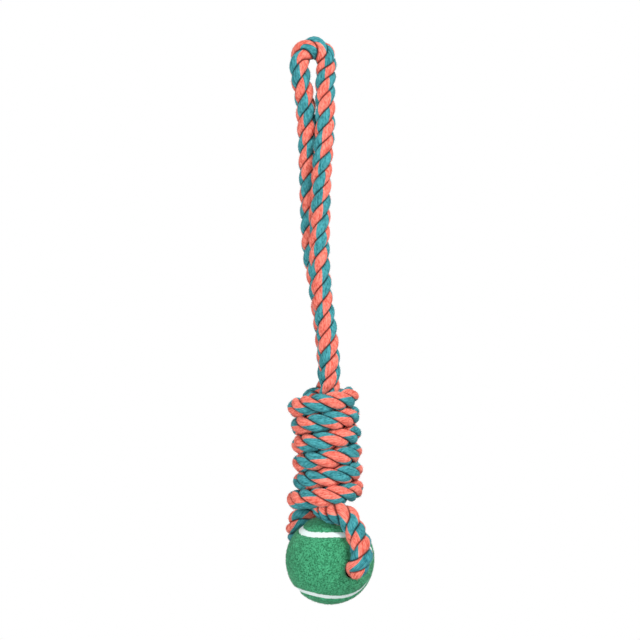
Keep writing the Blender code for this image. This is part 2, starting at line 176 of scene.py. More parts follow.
handRoute = [
    (0.0112, -0.0073, -0.2110),
    (0.0101, -0.0073, -0.1963),
    (0.0069, -0.0073, -0.1724),
    (0.0055, -0.0072, -0.1550),
    (0.0047, -0.0069, -0.1392),
    (0.0052, -0.0065, -0.1160),
    (0.0058, -0.0060, -0.0922),
    (0.0071, -0.0053, -0.0690),
    (0.0087, -0.0036, -0.0488),
    (0.0089, -0.0025, -0.0372),
    (0.0088, -0.0012, -0.0235),
    (0.0090, -0.0005, -0.0141),
    (0.0097, 0.0, -0.0040),
    (0.0096, 0.0, 0.0018),
    (0.0076, 0.0, 0.0061),
    (0.0043, 0.0, 0.0088),
    (0.0, 0.0, 0.0098),
    (-0.0043, 0.0, 0.0088),
    (-0.0076, 0.0, 0.0061),
    (-0.0096, 0.0, 0.0018),
    (-0.0097, 0.0, -0.0040),
    (-0.0085, 0.0005, -0.0141),
    (-0.0065, 0.0012, -0.0235),
    (-0.0051, 0.0025, -0.0372),
    (-0.0040, 0.0038, -0.0520),
    (-0.0033, 0.0053, -0.0690),
    (-0.0027, 0.0060, -0.0922),
    (-0.0018, 0.0065, -0.1160),
    (-0.0003, 0.0070, -0.1380),
    (0.0027, 0.0073, -0.1560),
    (0.0056, 0.0073, -0.1740),
    (0.0084, 0.0073, -0.1960),
    (0.0099, 0.0073, -0.2110),
]
neckFront = [(0.0120, -0.0072, -0.2210), (0.0119, -0.0069, -0.2335)]
neckBack = [
    (0.0106, 0.0082, -0.2280),
    (0.0098, 0.0086, -0.2358),
    (0.0060, 0.0082, -0.2412),
    (0.0004, 0.0064, -0.2430),
    (-0.0020, 0.0030, -0.2448),
]
frontLegShares = [
    (-0.150, -0.206, 1.130),
    (-0.110, -0.340, 1.010),
    (0.020, -0.420, 0.935),
    (0.195, -0.525, 0.905),
    (0.345, -0.575, 0.800),
    (0.443, -0.644, 0.615),
    (0.524, -0.735, 0.447),
    (0.566, -0.845, 0.281),
    (0.570, -0.938, 0.141),
    (0.533, -0.979, 0.027),
    (0.481, -0.948, -0.047),
    (0.455, -0.851, -0.092),
]
backLegShares = [
    (0.129, 0.062, 1.121),
    (0.052, 0.180, 1.021),
    (-0.129, 0.309, 0.974),
    (-0.335, 0.376, 0.918),
    (-0.515, 0.402, 0.804),
    (-0.608, 0.454, 0.686),
    (-0.644, 0.546, 0.572),
    (-0.644, 0.680, 0.464),
    (-0.621, 0.835, 0.371),
    (-0.585, 0.946, 0.273),
    (-0.546, 0.954, 0.170),
    (-0.521, 0.861, 0.121),
]


def axisX(z):
    return knot["axisX"] + (knot["topTurnZ"] - z) * knot["leanShare"]


def slotAngle(topAngle, z):
    return topAngle - knot["coreTwist"] * (knot["topZ"] - z) / (knot["topZ"] - knot["coreFootZ"])


def slotPoint(topAngle, z):
    angle = slotAngle(topAngle, z)
    reach = knot["slotRadius"]
    return Vector((axisX(z) + reach * math.cos(angle), reach * math.sin(angle), z))


def turnPoint(turns):
    # turns counts up from the front of the lowest turn
    angle = 2 * math.pi * turns - math.pi / 2
    z = knot["footTurnZ"] + knot["pitch"] * turns + knot["turnTilt"] * math.cos(angle)
    footShare = (knot["footBulgeEnd"] - turns) / knot["footBulgeRun"]
    topPlace = (turns - knot["turns"] + knot["topBulgeBack"]) / knot["topBulgeSpread"]
    reach = knot["turnRadius"] + knot["footBulge"] * min(max(footShare, 0), 1)
    reach += knot["topBulge"] * math.exp(-topPlace ** 2)
    return Vector((axisX(z) + reach * math.cos(angle), reach * math.sin(angle), z))


def tuckPoints(inner, outer, heading):
    # Where the wound rope goes into the middle of the knot
    innerHandle = inner + Vector((0, 0, outer.z - inner.z)).normalized() * knot["tuckInnerReach"]
    outerHandle = outer + heading * knot["tuckOuterReach"]
    count = knot["loopPoints"] // 2
    points = []
    for i in range(count):
        share = i / count
        rest = 1 - share
        points.append(rest**3 * inner + 3 * rest**2 * share * innerHandle
                      + 3 * rest * share**2 * outerHandle + share**3 * outer)
    return points


def windingRoute():
    # The winding's centreline, and how much of it at each end is tucked in
    first = knot["footStart"]
    last = (knot["ballSlot"] - knot["tuckSweep"] + math.pi / 2) / (2 * math.pi) + knot["turns"] - 1
    nudge = 1 / knot["loopPoints"]
    start, end = turnPoint(first), turnPoint(last)
    startHeading = (start - turnPoint(first + nudge)).normalized()
    endHeading = (end - turnPoint(last - nudge)).normalized()
    run = knot["run"]
    footZ, topZ = start.z + knot["tuckRise"], end.z - knot["tuckRise"]
    footInner = atHeight(slotPoint(knot["handleSlot"], footZ + run / 2), footZ)
    topInner = atHeight(slotPoint(knot["ballSlot"], topZ - run / 2), topZ)
    loops = round((last - first) * knot["loopPoints"])
    footTuck = tuckPoints(footInner, start, startHeading)
    topTuck = tuckPoints(topInner, end, endHeading)[::-1]
    turns = [turnPoint(first + (last - first) * i / loops) for i in range(loops + 1)]
    lift = Vector((0, 0, run))
    return [footInner + lift, *footTuck, *turns, *topTuck, topInner - lift], len(footTuck) + 1, last


def handPath():
    # From the knot up the front leg, over the top and down the back leg into the knot
    front = atHeight(slotPoint(knot["frontSlot"], knot["topZ"]), knot["topZ"] + seatGap)
    back = slotPoint(knot["handleSlot"], knot["topZ"] - knot["handleSink"])
    return smoothRoute([front, *neckFront[::-1], *handRoute, *neckBack, back], smoothSteps)


def ballLoopPath():
    # Down the front leg, through the ball and up the back leg
    startZ = knot["coreFootZ"] - seatGap
    front = atHeight(slotPoint(knot["frontSlot"], knot["coreFootZ"]), startZ)
    back = atHeight(slotPoint(knot["ballSlot"], knot["coreFootZ"]), startZ)
    mouth = ball["bore"] * ball["throughHalf"]
    frontLeg = [ball["centre"] + Vector(share) * ball["laidRadius"] for share in frontLegShares]
    backLeg = [ball["centre"] + Vector(share) * ball["laidRadius"] for share in backLegShares]
    down = Vector((0, 0, -ball["legDrop"]))
    centre = ball["centre"]
    return smoothRoute([front, front + down, *frontLeg, centre + mouth, centre + mouth / 2, centre,
                        centre - mouth / 2, centre - mouth, *backLeg[::-1], back + down, back], smoothSteps)


# Rope lay, made by one node tree

rope = {
    "crest": 14.8 * mm,       # over the crests of the three strands, where the rope lies free
    "woundCrest": 14.5 * mm,  # pressed together in the winding
    "coreCrest": 12.2 * mm,   # squeezed inside the knot
    "strandShare": 0.252,     # strand radius as a share of the crest diameter
    "yarns": 18,              # round one strand
    "yarnRelief": 0.075,      # depth of the groove between yarns, as a share of the strand's radius
    "ringStep": 1.25 * mm,
    "unevenShare": 0.04,      # how far a strand's thickness wanders either way
    "unevenPerMetre": 60.0,   # how often it does
    "unevenApart": 7.3,       # sets the three strands apart in the noise
    "coralMiddle": 0.236,     # turns from the start of a strand's outline to the middle of its coral half
    "yarnNumbers": 40.0,      # numbers kept for the yarns of one strand
}


def makeRopeTree():
    tree = bpy.data.node_groups.new("ropeLay", "GeometryNodeTree")
    sockets = tree.interface
    sockets.new_socket("Path", in_out="INPUT", socket_type="NodeSocketGeometry")
    for name in ("Strand Radius", "Strand Reach", "Ring Step", "Yarn Groove", "Size Swing", "Least Size"):
        sockets.new_socket(name, in_out="INPUT", socket_type="NodeSocketFloat")
    sockets.new_socket("Yarns", in_out="INPUT", socket_type="NodeSocketInt")
    sockets.new_socket("Seed", in_out="INPUT", socket_type="NodeSocketInt")
    sockets.new_socket("Material", in_out="INPUT", socket_type="NodeSocketMaterial")
    sockets.new_socket("Rope", in_out="OUTPUT", socket_type="NodeSocketGeometry")
    given = addNode(tree, "NodeGroupInput").outputs

    # The path is a chain of edges whose points hold the rope's size and the angles of its lay and its dyes
    line = addNode(tree, "GeometryNodeMeshToCurve", {"Mesh": given["Path"]}).outputs[0]
    rings = addNode(tree, "GeometryNodeResampleCurve", {"Curve": line, "Length": given["Ring Step"]},
                    mode="LENGTH").outputs[0]
    strands = addNode(tree, "GeometryNodeDuplicateElements", {"Geometry": rings, "Amount": 3},
                      domain="SPLINE")
    strandIndex = strands.outputs["Duplicate Index"]
    held = {}
    for name in ("lay", "size", "face", "dyeA", "dyeB", "dyeC"):
        kind = "FLOAT_VECTOR" if name == "face" else "FLOAT"
        held[name] = addNode(tree, "GeometryNodeInputNamedAttribute", {"Name": name},
                             data_type=kind).outputs[0]

    # Small changes in a strand's thickness along its length
    run = addNode(tree, "GeometryNodeSplineParameter").outputs["Length"]
    stretched = addNode(tree, "ShaderNodeMath", {0: run, 1: rope["unevenPerMetre"]},
                        operation="MULTIPLY").outputs[0]
    apart = addNode(tree, "ShaderNodeMath", {0: strandIndex, 1: rope["unevenApart"]},
                    operation="MULTIPLY").outputs[0]
    place = addNode(tree, "ShaderNodeCombineXYZ", {0: stretched, 1: apart, 2: given["Seed"]}).outputs[0]
    wander = addNode(tree, "ShaderNodeTexNoise", {"Vector": place, "Scale": 1.0, "Detail": 1.0}).outputs[0]
    swell = addNode(tree, "ShaderNodeMath", {0: wander, 1: given["Size Swing"], 2: given["Least Size"]},
                    operation="MULTIPLY_ADD").outputs[0]
    size = addNode(tree, "ShaderNodeMath", {0: held["size"], 1: swell}, operation="MULTIPLY").outputs[0]

    # Each strand goes to its own side of the path, turned by the lay
    tangent = addNode(tree, "GeometryNodeInputTangent").outputs[0]
    side = addNode(tree, "ShaderNodeMath", {0: strandIndex, 1: 2 * math.pi / 3, 2: held["lay"]},
                   operation="MULTIPLY_ADD").outputs[0]
    turned = addNode(tree, "ShaderNodeVectorRotate", {
        "Vector": held["face"], "Axis": tangent, "Angle": side}).outputs[0]
    reach = addNode(tree, "ShaderNodeMath", {0: given["Strand Reach"], 1: size},
                    operation="MULTIPLY").outputs[0]
    offset = addNode(tree, "ShaderNodeVectorMath", {0: turned, "Scale": reach}, operation="SCALE").outputs[0]
    middle = addNode(tree, "GeometryNodeInputPosition").outputs[0]
    before = addNode(tree, "GeometryNodeCaptureAttribute", {"Geometry": strands.outputs[0]}, domain="POINT")
    for kind, name, value in (("VECTOR", "middle", middle), ("VECTOR", "side", turned), ("FLOAT", "run", run),
                              ("FLOAT", "size", size), ("FLOAT", "strand", strandIndex)):
        before.capture_items.new(kind, name)
        tree.links.new(value, before.inputs[name])
    moved = addNode(tree, "GeometryNodeSetPosition", {
        "Geometry": before.outputs[0], "Offset": offset}).outputs[0]

    # The yarns turn in their strand as its dye does
    facing = addNode(tree, "GeometryNodeSetCurveNormal", {"Curve": moved, "Normal": before.outputs["side"]},
                     mode="FREE").outputs[0]
    tilt = addNode(tree, "GeometryNodeIndexSwitch", {"Index": strandIndex}, data_type="FLOAT")
    tilt.index_switch_items.new()
    for i, name in enumerate(("dyeA", "dyeB", "dyeC")):
        tree.links.new(held[name], tilt.inputs[i + 1])
    tilted = addNode(tree, "GeometryNodeSetCurveTilt", {
        "Curve": facing, "Tilt": tilt.outputs[0]}).outputs[0]

    # A strand's outline: each yarn is a low ridge
    corners = addNode(tree, "ShaderNodeMath", {0: given["Yarns"], 1: 2.0}, operation="MULTIPLY").outputs[0]
    outline = addNode(tree, "GeometryNodeCurvePrimitiveCircle", {
        "Resolution": corners, "Radius": given["Strand Radius"]}).outputs[0]
    index = addNode(tree, "GeometryNodeInputIndex").outputs[0]
    position = addNode(tree, "GeometryNodeInputPosition").outputs[0]
    low = addNode(tree, "ShaderNodeMath", {0: index, 1: 2.0}, operation="MODULO").outputs[0]
    depth = addNode(tree, "ShaderNodeMath", {0: low, 1: given["Yarn Groove"]},
                    operation="MULTIPLY").outputs[0]
    inward = addNode(tree, "ShaderNodeVectorMath", {0: position, "Scale": depth},
                     operation="SCALE").outputs[0]
    ridged = addNode(tree, "GeometryNodeSetPosition", {"Geometry": outline, "Offset": inward}).outputs[0]
    half = addNode(tree, "ShaderNodeMath", {0: index, 1: given["Yarns"]}, operation="LESS_THAN").outputs[0]
    yarn = addNode(tree, "ShaderNodeMath", {0: index, 1: 0.5, 2: 0.5}, operation="MULTIPLY_ADD").outputs[0]
    yarn = addNode(tree, "ShaderNodeMath", {0: yarn}, operation="FLOOR").outputs[0]
    # The groove points are flagged for the painted shade between the yarns
    profile = addNode(tree, "GeometryNodeCaptureAttribute", {"Geometry": ridged}, domain="POINT")
    for kind, name, value in (("FLOAT", "coral", half), ("VECTOR", "round", position),
                              ("FLOAT", "yarn", yarn), ("FLOAT", "groove", low)):
        profile.capture_items.new(kind, name)
        tree.links.new(value, profile.inputs[name])
    skin = addNode(tree, "GeometryNodeCurveToMesh", {
        "Curve": tilted, "Profile Curve": profile.outputs[0], "Fill Caps": True,
        "Scale": before.outputs["size"]}).outputs[0]

    # What the dye, the painted shade and the loose fibres need to know about each point
    along = addNode(tree, "ShaderNodeCombineXYZ", {2: before.outputs["run"]}).outputs[0]
    strandPlace = addNode(tree, "ShaderNodeVectorMath", {0: profile.outputs["round"], 1: along},
                          operation="ADD").outputs[0]
    yarnNumber = addNode(tree, "ShaderNodeMath", {
        0: strandIndex, 1: rope["yarnNumbers"], 2: profile.outputs["yarn"]},
        operation="MULTIPLY_ADD").outputs[0]
    tint = addNode(tree, "FunctionNodeRandomValue", {"ID": yarnNumber, "Seed": given["Seed"]},
                   data_type="FLOAT").outputs[1]
    place = addNode(tree, "GeometryNodeInputPosition").outputs[0]
    out = addNode(tree, "ShaderNodeVectorMath", {0: place, 1: before.outputs["middle"]},
                  operation="DISTANCE").outputs["Value"]
    out = addNode(tree, "ShaderNodeMath", {0: out, 1: before.outputs["size"]}, operation="DIVIDE").outputs[0]

    # How far each point is from the middle of the nearest other strand, for the painted shade between them
    lines = addNode(tree, "GeometryNodeCurveToMesh", {"Curve": moved}).outputs[0]
    strand = before.outputs["strand"]
    gaps = []
    for step in (1.0, 2.0):
        other = addNode(tree, "ShaderNodeMath", {0: strand, 1: step}, operation="ADD").outputs[0]
        other = addNode(tree, "ShaderNodeMath", {0: other, 1: 3.0}, operation="MODULO").outputs[0]
        gap = addNode(tree, "GeometryNodeProximity", {
            0: lines, "Group ID": strand, "Sample Group ID": other}, target_element="EDGES")
        gaps.append(gap.outputs["Distance"])
    beside = addNode(tree, "ShaderNodeMath", {0: gaps[0], 1: gaps[1]}, operation="MINIMUM").outputs[0]
    beside = addNode(tree, "ShaderNodeMath", {0: beside, 1: before.outputs["size"]},
                     operation="DIVIDE").outputs[0]
    for name, kind, value in (("coral", "FLOAT", profile.outputs["coral"]), ("tint", "FLOAT", tint),
                              ("groove", "FLOAT", profile.outputs["groove"]), ("reach", "FLOAT", out),
                              ("beside", "FLOAT", beside), ("strandPlace", "FLOAT_VECTOR", strandPlace)):
        skin = addNode(tree, "GeometryNodeStoreNamedAttribute", {
            "Geometry": skin, "Name": name, "Value": value}, data_type=kind, domain="POINT").outputs[0]
    smooth = addNode(tree, "GeometryNodeSetShadeSmooth", {"Geometry": skin}).outputs[0]
    whole = addNode(tree, "GeometryNodeRealizeInstances", {"Geometry": smooth}).outputs[0]
    done = addNode(tree, "GeometryNodeSetMaterial", {
        "Geometry": whole, "Material": given["Material"]}).outputs[0]
    addNode(tree, "NodeGroupOutput", {0: done})
    return tree


looseFibre = {
    "rootDepth": 2.0,    # how far the root goes under the skin, in radii of the fibre
    "taper": 0.75,       # share of the radius that is gone at the tip
    "leastScale": 0.45,  # of one fibre beside the next
    "mostScale": 1.25,
}


def makeFibreTree():
    # Loose fibres that stand out of a skin wherever its "reach" is above the least one
    tree = bpy.data.node_groups.new("looseFibres", "GeometryNodeTree")
    sockets = tree.interface
    sockets.new_socket("Skin", in_out="INPUT", socket_type="NodeSocketGeometry")
    for name in ("Density", "Length", "Radius", "Lean", "Least Reach"):
        sockets.new_socket(name, in_out="INPUT", socket_type="NodeSocketFloat")
    sockets.new_socket("Seed", in_out="INPUT", socket_type="NodeSocketInt")
    sockets.new_socket("Material", in_out="INPUT", socket_type="NodeSocketMaterial")
    sockets.new_socket("Fibres", in_out="OUTPUT", socket_type="NodeSocketGeometry")
    given = addNode(tree, "NodeGroupInput").outputs
    reach = addNode(tree, "GeometryNodeInputNamedAttribute", {"Name": "reach"}, data_type="FLOAT").outputs[0]
    free = addNode(tree, "FunctionNodeCompare", {0: reach, 1: given["Least Reach"]},
                   data_type="FLOAT", operation="GREATER_THAN").outputs[0]
    points = addNode(tree, "GeometryNodeDistributePointsOnFaces", {
        "Mesh": given["Skin"], "Selection": free, "Density": given["Density"], "Seed": given["Seed"]})

    # One leaning fibre, thin at its tip
    tip = addNode(tree, "ShaderNodeCombineXYZ", {0: given["Lean"], 2: given["Length"]}).outputs[0]
    depth = addNode(tree, "ShaderNodeMath", {0: given["Radius"], 1: -looseFibre["rootDepth"]},
                    operation="MULTIPLY").outputs[0]
    root = addNode(tree, "ShaderNodeCombineXYZ", {2: depth}).outputs[0]
    line = addNode(tree, "GeometryNodeCurvePrimitiveLine", {"Start": root, "End": tip}).outputs[0]
    share = addNode(tree, "GeometryNodeSplineParameter").outputs["Factor"]
    thin = addNode(tree, "ShaderNodeMath", {0: share, 1: -looseFibre["taper"], 2: 1.0},
                   operation="MULTIPLY_ADD").outputs[0]
    ring = addNode(tree, "GeometryNodeCurvePrimitiveCircle", {
        "Resolution": 3, "Radius": given["Radius"]}).outputs[0]
    fibre = addNode(tree, "GeometryNodeCurveToMesh", {
        "Curve": line, "Profile Curve": ring, "Scale": thin, "Fill Caps": True}).outputs[0]

    spin = addNode(tree, "FunctionNodeRandomValue", {3: 2 * math.pi, "Seed": given["Seed"]},
                   data_type="FLOAT").outputs[1]
    spin = addNode(tree, "ShaderNodeCombineXYZ", {2: spin}).outputs[0]
    spin = addNode(tree, "FunctionNodeEulerToRotation", {0: spin}).outputs[0]
    facing = addNode(tree, "FunctionNodeRotateRotation", {
        "Rotation": points.outputs["Rotation"], "Rotate By": spin}, rotation_space="LOCAL").outputs[0]
    scale = addNode(tree, "FunctionNodeRandomValue", {
        2: looseFibre["leastScale"], 3: looseFibre["mostScale"], "Seed": given["Seed"]},
        data_type="FLOAT").outputs[1]
    standing = addNode(tree, "GeometryNodeInstanceOnPoints", {
        "Points": points.outputs["Points"], "Instance": fibre, "Rotation": facing,
        "Scale": scale}).outputs[0]
    smooth = addNode(tree, "GeometryNodeSetShadeSmooth", {"Geometry": standing}).outputs[0]
    whole = addNode(tree, "GeometryNodeRealizeInstances", {"Geometry": smooth}).outputs[0]
    done = addNode(tree, "GeometryNodeSetMaterial", {
        "Geometry": whole, "Material": given["Material"]}).outputs[0]
    addNode(tree, "NodeGroupOutput", {0: done})
    return tree


def plainMesh(name, source, tree, values):
    # Runs a tree on an object, with its inputs set by their identifiers, and keeps only the mesh it makes
    modifier = source.modifiers.new("nodes", "NODES")
    modifier.node_group = tree
    for item in tree.interface.items_tree:
        if item.item_type == "SOCKET" and item.in_out == "INPUT" and item.name in values:
            modifier[item.identifier] = values[item.name]
    mesh = bpy.data.meshes.new_from_object(source.evaluated_get(bpy.context.evaluated_depsgraph_get()))
    mesh.name = name
    source.modifiers.remove(modifier)
    print(name, len(mesh.polygons), "faces")
    return mesh


def headings(path):
    # The direction of the path at each of its points
    return [(path[min(i + 1, len(path) - 1)] - path[max(i - 1, 0)]).normalized() for i in range(len(path))]


def carriedOn(bands, place):
    # One more row for the bands, on the line of the two rows next to it
    near, far = sorted(bands, key=lambda row: abs(row[0] - place))[:2]
    share = (place - near[0]) / (far[0] - near[0])
    return [a + (b - a) * share for a, b in zip(near, far)]


def makeRope(name, path, crests, settings, places, faces):
    # crests holds a crest diameter for each share of the path; places gives each point its place in the
    # bands, and faces the direction from which the lay is measured there
    shares, diameters = zip(*crests)
    runs = runLengths(path)
    bands = settings["bands"]
    table = np.array([carriedOn(bands, places[0]), *bands, carriedOn(bands, places[-1])])
    lay, *dyes = (np.interp(places, table[:, 0], table[:, i]) * 2 * np.pi for i in range(1, 5))
    chain = bpy.data.meshes.new(name + "Path")
    chain.from_pydata([tuple(point) for point in path], [(i, i + 1) for i in range(len(path) - 1)], [])
    values = {"size": np.interp(np.array(runs) / runs[-1], shares, diameters) / rope["crest"], "lay": lay}
    for attribute, dye in zip(("dyeA", "dyeB", "dyeC"), dyes):
        values[attribute] = dye - 2 * np.pi * rope["coralMiddle"]
    for attribute, numbers in values.items():
        column = chain.attributes.new(attribute, "FLOAT", "POINT").data
        column.foreach_set("value", [float(v) for v in numbers])
    outward = [(face - face.dot(heading) * heading).normalized()
               for face, heading in zip(faces, headings(path))]
    column = chain.attributes.new("face", "FLOAT_VECTOR", "POINT").data
    column.foreach_set("vector", [v for f in outward for v in f])
    guide = addObject(name + "Path", chain)
    strand = rope["strandShare"] * rope["crest"]
    mesh = plainMesh(name, guide, ropeTree, {
        "Strand Radius": strand,
        "Strand Reach": rope["crest"] / 2 - strand,
        "Ring Step": settings.get("ringStep", rope["ringStep"]),
        "Yarn Groove": -rope["yarnRelief"],
        "Size Swing": 2 * rope["unevenShare"],
        "Least Size": 1 - rope["unevenShare"],
        "Yarns": settings.get("yarns", rope["yarns"]),
        "Seed": settings["seed"],
        "Material": dyedCotton,
    })
    bpy.data.objects.remove(guide)
    return addObject(name, mesh)


def makeFibres(name, skin, look, material):
    # Fibres on a copy of a skin, as one plain mesh of their own
    return addObject(name, plainMesh(name, skin, fibreTree, {
        "Density": look["perSquareMm"] / (mm * mm),
        "Length": look["length"],
        "Radius": look["width"] / 2,
        "Lean": look["lean"],
        "Least Reach": look["leastReach"],
        "Seed": look["seed"],
        "Material": material,
    }))


def makeMaterial(name, surface):
    # A material with the plain values of its surface
    material = bpy.data.materials.new(name)
    material.use_nodes = True
    shader = material.node_tree.nodes["Principled BSDF"]
    for socket, value in surface.items():
        shader.inputs[socket].default_value = value
    return material, shader


cotton = {
    "coral": ("#ff9685", "#cf4e3d", "#6a160e"),  # lighter yarns, darker yarns, painted shade between the strands
    "teal": ("#4fa9b1", "#1d656d", "#07262b"),
    "surface": {"Roughness": 0.95, "Specular IOR Level": 0.2, "Sheen Weight": 0.06, "Sheen Roughness": 0.5},
    "fibreWidth": 0.35 * mm,  # real fibres are about 0.02 mm, which wouldn't show
    "fibreLength": 2.2 * mm,
    "fleck": 1.2 * mm,
    "blotch": 4 * mm,
    "weights": (0.2, 1.2, 1.2, 0.6, 0.3),  # of the yarns' tints, fibres, flecks, blotches and grooves; the grooves' share is painted shade between the yarns
    "shadeRange": (1.5, 2.05),             # their sum where a yarn is lightest and where it is darkest
    "relief": 0.3 * mm,
    "reliefStrength": 0.6,
    "creaseShadeReach": (3.7 * mm, 5.2 * mm),   # where the painted shade between the strands begins and where it is deepest, from the middle of the next strand, in a rope of full size
    # how dark the painted shade between the strands gets
    "creaseShadeDepth": 0.9,
    "dyeEdge": (0.35, 0.65),               # how sharply the two dyes meet
    "fuzz": {"perSquareMm": 0.5, "length": 0.9 * mm, "width": 0.09 * mm, "lean": 1.1 * mm,
             "leastReach": 5.6 * mm, "seed": 4},  # thicker than real fibres, so that it shows
}


def makeCotton():
    # Laid cotton rope, dyed yarns: matt, with fine fibres along each yarn, painted shade in the grooves
    # between the yarns, and painted shade where the strands meet
    material, shader = makeMaterial("dyedCotton", cotton["surface"])
    tree = material.node_tree
    place = addNode(tree, "ShaderNodeAttribute", attribute_name="strandPlace").outputs["Vector"]
    coral, tint, groove, beside = (addNode(tree, "ShaderNodeAttribute", attribute_name=name).outputs["Fac"]
                                   for name in ("coral", "tint", "groove", "beside"))
    across, along = 1 / cotton["fibreWidth"], 1 / cotton["fibreLength"]
    stretched = addNode(tree, "ShaderNodeMapping", {
        "Vector": place, "Scale": (across, across, along)}).outputs[0]
    fibres = addNode(tree, "ShaderNodeTexNoise", {
        "Vector": stretched, "Scale": 1.0, "Detail": 3.0, "Roughness": 0.6}).outputs[0]
    flecks, blotches = (
        addNode(tree, "ShaderNodeTexNoise", {"Vector": place, "Scale": 1 / size, "Detail": 2.0}).outputs[0]
        for size in (cotton["fleck"], cotton["blotch"]))
    # Tone varies at random along the yarns, and the grooves between yarns get painted shade
    amount = 0.0
    for value, weight in zip((tint, fibres, flecks, blotches, groove), cotton["weights"]):
        amount = addNode(tree, "ShaderNodeMath", {0: value, 1: weight, 2: amount},
                         operation="MULTIPLY_ADD").outputs[0]
    lightest, darkest = cotton["shadeRange"]
    shade = addNode(tree, "ShaderNodeMapRange", {
        "Value": amount, "From Min": lightest, "From Max": darkest}).outputs[0]
    # Painted shade where the strands meet, darkest close to the next strand
    nearest, farthest = cotton["creaseShadeReach"]
    creaseShade = addNode(tree, "ShaderNodeMapRange", {
        "Value": beside, "From Min": farthest, "From Max": nearest, "To Max": cotton["creaseShadeDepth"]},
        interpolation_type="SMOOTHSTEP").outputs[0]
    dyed = []
    for name in ("teal", "coral"):
        light, dark, creaseShadeColour = (linearColour(text) for text in cotton[name])
        yarns = addNode(tree, "ShaderNodeMix", {0: shade, 6: light, 7: dark}, data_type="RGBA").outputs[2]
        creaseShaded = addNode(tree, "ShaderNodeMix", {0: creaseShade, 6: yarns, 7: creaseShadeColour}, data_type="RGBA").outputs[2]
        dyed.append(creaseShaded)
    tealEdge, coralEdge = cotton["dyeEdge"]
    half = addNode(tree, "ShaderNodeMapRange", {
        "Value": coral, "From Min": tealEdge, "From Max": coralEdge}).outputs[0]
    colour = addNode(tree, "ShaderNodeMix", {0: half, 6: dyed[0], 7: dyed[1]}, data_type="RGBA").outputs[2]
    tree.links.new(colour, shader.inputs["Base Color"])
    bump = addNode(tree, "ShaderNodeBump", {
        "Height": fibres, "Strength": cotton["reliefStrength"], "Distance": cotton["relief"]})
    tree.links.new(bump.outputs[0], shader.inputs["Normal"])
    return material


ropeTree = makeRopeTree()
fibreTree = makeFibreTree()
dyedCotton = makeCotton()

# How the strands lie. Each row of "bands" holds a place along the rope, the turns of the lay there and,
# for each strand, the turns from its outer side to the middle of its coral half. The crests are given at
# shares of the path, as shares of the free rope's

handRope = {
    "bands": [  # mm up from the foot of handRoute; the lay is shorter round the bend
        (0, -0.01, 0.35, 0.40, 0.60),
        (50, 1.53, -2.90, -2.90, -2.65),
        (100, 2.95, -6.05, -6.00, -5.85),
        (150, 4.43, -9.35, -9.30, -9.05),
        (200, 5.89, -12.50, -12.60, -12.25),
        (216, 6.51, -14.10, -13.85, -13.75),
        (232, 7.13, -14.85, -14.95, -14.75),
        (256, 7.87, -16.55, -16.75, -16.30),
        (300, 9.14, -19.35, -19.75, -19.25),
        (340, 10.27, -22.00, -22.30, -21.80),
    ],
    "frontCrests": [(0, 0.95), (0.015, 1.03), (0.05, 1.08), (0.12, 1.03), (0.3, 1)],
    "bendCrest": 1.16,
    "bendShare": 0.03,  # how far the thicker bend reaches either way
    "backCrests": [(0.7, 1), (0.88, 1.03), (0.96, 1), (1, 0.9)],
    "seed": 3,
}
woundRope = {
    "bands": [  # turns up from the front of the lowest turn
        (0, 0.09, 0.65, 0.25, 0.25),
        (1, 3.54, -6.65, -7.25, -7.20),
        (2, 6.84, -13.70, -14.15, -14.60),
        (3, 10.28, -21.00, -21.45, -21.80),
        (4, 13.38, -28.05, -28.30, -28.75),
        (5, 16.87, -35.65, -34.70, -36.35),
    ],
    "seed": 5,
}
loopRope = {
    "bands": [  # mm from the knot down the front leg, through the ball and up the back leg
        (8, 0.00, 1.05, 1.45, 0.75),
        (30, 0.96, -1.10, -0.90, -1.65),
        (54, 1.74, -2.55, -3.00, -3.50),
        (66, 2.12, -3.40, -3.95, -4.35),
        (78, 2.62, -4.40, -4.95, -5.10),
        (178, 5.56, -10.80, -10.60, -11.55),
        (191, 6.00, -11.30, -11.40, -12.75),
        (204, 6.43, -12.10, -12.20, -13.95),
    ],
    # Squeezed at its ends and in the ball, and opened where it bends over the ball
    "crests": [(0, 0.9), (0.03, 1.18), (0.07, 1.25), (0.11, 1.18), (0.16, 1.1), (0.26, 1.1), (0.31, 1.05),
               (0.35, 0.88), (0.6, 0.88), (0.64, 1), (0.92, 1), (1, 0.85)],
    "seed": 8,
}
coreRope = {
    "bands": [(0, 0, 0, 0.4, 0.7), (33, 1, -2.1, -1.7, -1.4)],  # mm down; inside the knot, so just even
    "steps": 30,
    "seed": 11,
    "yarns": 12,
    "ringStep": 2.2 * mm,
}


def makeHandRope():
    path = handPath()
    runs = runLengths(path)
    foot, top = (runs[(len(neckFront) + 1 + row) * smoothSteps] for row in (0, len(handRoute) // 2))
    top /= runs[-1]
    bend = handRope["bendShare"]
    bendCrests = [(top - bend, 1), (top, handRope["bendCrest"]), (top + bend, 1)]
    crests = [(share, rope["crest"] * factor)
              for share, factor in handRope["frontCrests"] + bendCrests + handRope["backCrests"]]
    piece = makeRope("handRope", path, crests, handRope, [(run - foot) / mm for run in runs],
                     [viewerSide] * len(path))
    fuzz = makeFibres("handRopeFuzz", piece, cotton["fuzz"], dyedCotton)
    for part in (piece, fuzz):
        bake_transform(part)
    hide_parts("handle_loop", "neck_rope_front", "neck_rope_back")


